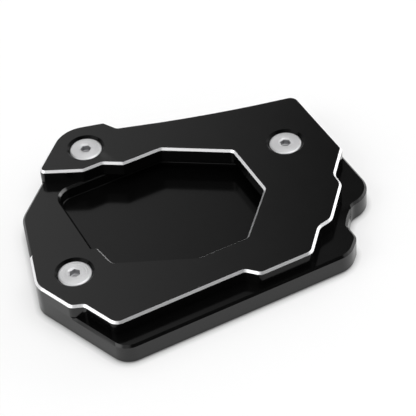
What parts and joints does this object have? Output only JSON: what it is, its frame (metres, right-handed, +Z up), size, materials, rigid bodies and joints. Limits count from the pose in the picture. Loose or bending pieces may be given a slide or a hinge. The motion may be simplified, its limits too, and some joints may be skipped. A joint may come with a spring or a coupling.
{
  "type": "kickstand foot enlarger",
  "caption": "Wide foot plate for a motorcycle side stand: a pocketed base plate and a C-shaped clamp plate held by countersunk screws.",
  "frame": {"origin": "centre of the bounding box in plan, on the bottom face of the base plate", "axes": "+X along the straight front edge, away from the open end of the clamp plate; +Y towards the rounded boss at the rear; +Z up, out of the pocket"},
  "size_m": [0.1052, 0.0892, 0.0116],
  "materials": {
    "anodised_black": "smooth black anodised aluminium; the clamp plate's top chamfer is cut afterwards and bright",
    "stainless_screw": "satin stainless steel, turned head with hexagon socket"
  },
  "bodies": {
    "root": {"base_plate": "anodised_black", "clamp_plate": "anodised_black", "left_screw": "stainless_screw", "rear_screw": "stainless_screw", "right_screw": "stainless_screw"}
  },
  "joints": []
}
